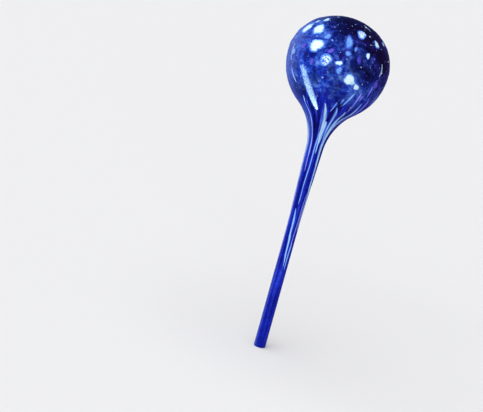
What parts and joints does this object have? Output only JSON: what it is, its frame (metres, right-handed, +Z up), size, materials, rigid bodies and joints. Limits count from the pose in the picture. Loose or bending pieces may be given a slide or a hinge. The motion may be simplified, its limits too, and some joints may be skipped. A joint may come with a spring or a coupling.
{
  "type": "watering globe",
  "caption": "Hand-blown glass watering globe: a speckled cobalt bulb that narrows into a long hollow stem, pushed into soil to feed water slowly to a potted plant.",
  "frame": {"origin": "middle of the open tip of the stem, in the plane of the tip's end", "axes": "+Z up the axis of the stem, towards the bulb; -Y is the front, the side that faces the camera in the picture"},
  "size_m": [0.0824, 0.0825, 0.28],
  "materials": {
    "cobalt_glass": "clear blown glass, glossy",
    "white_glass": "opaque glass melted onto the surface, glossy",
    "azure_glass": "opaque glass melted onto the surface, glossy",
    "violet_glass": "opaque glass melted onto the surface, glossy"
  },
  "bodies": {
    "root": {"glass_vessel": "cobalt_glass", "white_chips": "white_glass", "azure_chips": "azure_glass", "violet_chips": "violet_glass", "white_crumbs": "white_glass", "white_streaks": "white_glass", "azure_streaks": "azure_glass", "lavender_streaks": "violet_glass"}
  },
  "joints": []
}
